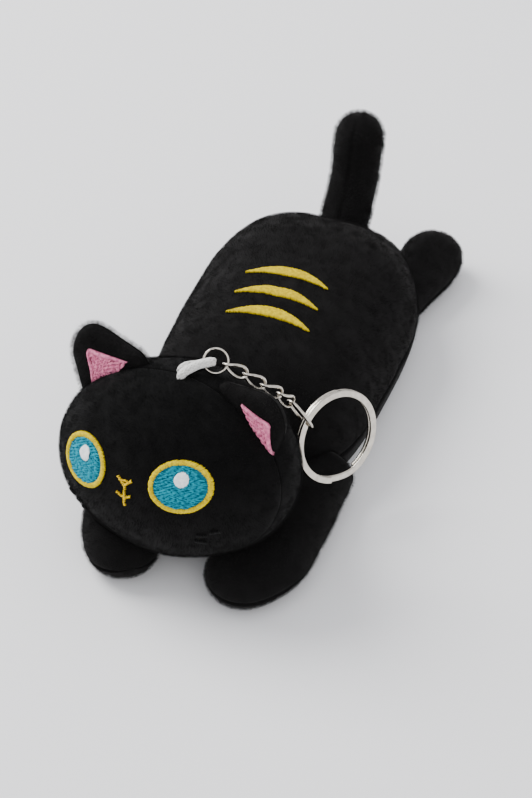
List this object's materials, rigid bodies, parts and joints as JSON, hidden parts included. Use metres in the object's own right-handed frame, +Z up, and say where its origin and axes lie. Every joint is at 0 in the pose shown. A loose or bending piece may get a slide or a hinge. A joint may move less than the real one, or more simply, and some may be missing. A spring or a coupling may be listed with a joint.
{
  "type": "plush keychain",
  "caption": "Lying plush cat with embroidered eyes and back stripes, hung by a cord loop, jump ring, curb chain and split key ring from the crown of its head.",
  "frame": {"origin": "centre of the flat of the belly that the cat lies on", "axes": "+Z up, the cat faces -Y, +X is its left side"},
  "size_m": [0.0749, 0.1595, 0.0561],
  "materials": {
    "nickel_plate": "bright nickel plate",
    "white_cord": "braided",
    "polyester_fill": "fibre",
    "yellow_thread": "satin stitch",
    "teal_thread": "satin stitch",
    "white_thread": "satin stitch",
    "pink_thread": "satin stitch",
    "black_thread": "satin stitch",
    "gold_thread": "satin stitch",
    "black_minky": "short dense pile"
  },
  "bodies": {
    "plush": {"back_stripe_1": "yellow_thread", "back_stripe_2": "yellow_thread", "back_stripe_3": "yellow_thread", "cord_knot": "white_cord", "cord_loop": "white_cord", "head_back_panel": "black_minky", "head_face_panel": "black_minky", "head_stuffing": "polyester_fill", "left_cheek_stitches": "black_thread", "left_ear_back": "black_minky", "left_ear_front": "black_minky", "left_ear_inner": "pink_thread", "left_eye_highlight": "white_thread", "left_eye_iris": "teal_thread", "left_eye_rim": "yellow_thread", "left_front_leg_sole": "black_minky", "left_front_leg_stuffing": "polyester_fill", "left_front_leg_upper": "black_minky", "left_rear_leg_sole": "black_minky", "left_rear_leg_stuffing": "polyester_fill", "left_rear_leg_upper": "black_minky", "mouth_stitches": "gold_thread", "nose_stitches": "gold_thread", "right_cheek_stitches": "black_thread", "right_ear_back": "black_minky", "right_ear_front": "black_minky", "right_ear_inner": "pink_thread", "right_eye_highlight": "white_thread", "right_eye_iris": "teal_thread", "right_eye_rim": "yellow_thread", "right_front_leg_sole": "black_minky", "right_front_leg_stuffing": "polyester_fill", "right_front_leg_upper": "black_minky", "right_rear_leg_sole": "black_minky", "right_rear_leg_stuffing": "polyester_fill", "right_rear_leg_upper": "black_minky", "tail_cover": "black_minky", "tail_stuffing": "polyester_fill", "torso_back_panel": "black_minky", "torso_belly_panel": "black_minky", "torso_stuffing": "polyester_fill"},
    "jump_ring": {"jump_ring": "nickel_plate"},
    "chain_link_1": {"chain_link_1": "nickel_plate"},
    "chain_link_2": {"chain_link_2": "nickel_plate"},
    "chain_link_3": {"chain_link_3": "nickel_plate"},
    "chain_link_4": {"chain_link_4": "nickel_plate"},
    "end_link": {"end_link": "nickel_plate"},
    "split_ring": {"split_ring": "nickel_plate"}
  },
  "joints": [
    {"name": "jump_ring_swing", "type": "hinge", "parent": "plush", "child": "jump_ring", "pos_m": [-0.00124, -0.05484, 0.05289], "axis": [0.4013, -0.5268, -0.7493], "range_deg": [0, 15]},
    {"name": "chain_link_1_swing", "type": "hinge", "parent": "jump_ring", "child": "chain_link_1", "pos_m": [0.00435, -0.05329, 0.05247], "axis": [-0.1768, -0.6867, -0.7051], "range_deg": [0, 8]},
    {"name": "chain_link_2_swing", "type": "hinge", "parent": "chain_link_1", "child": "chain_link_2", "pos_m": [0.00895, -0.05225, 0.04983], "axis": [-0.2291, -0.6997, -0.6767], "range_deg": [0, 8]},
    {"name": "chain_link_3_swing", "type": "hinge", "parent": "chain_link_2", "child": "chain_link_3", "pos_m": [0.01322, -0.05122, 0.04669], "axis": [-0.2932, -0.7172, -0.6322], "range_deg": [0, 8]},
    {"name": "chain_link_4_swing", "type": "hinge", "parent": "chain_link_3", "child": "chain_link_4", "pos_m": [0.01693, -0.04921, 0.04332], "axis": [-0.2435, -0.6917, -0.6799], "range_deg": [0, 8]},
    {"name": "end_link_swing", "type": "hinge", "parent": "chain_link_4", "child": "end_link", "pos_m": [0.01894, -0.04671, 0.03898], "axis": [-0.2962, -0.7608, -0.5775], "range_deg": [0, 8]},
    {"name": "split_ring_swing", "type": "hinge", "parent": "end_link", "child": "split_ring", "pos_m": [0.02208, -0.04521, 0.03288], "axis": [-0.2396, -0.6816, -0.6914], "range_deg": [0, 45]}
  ]
}
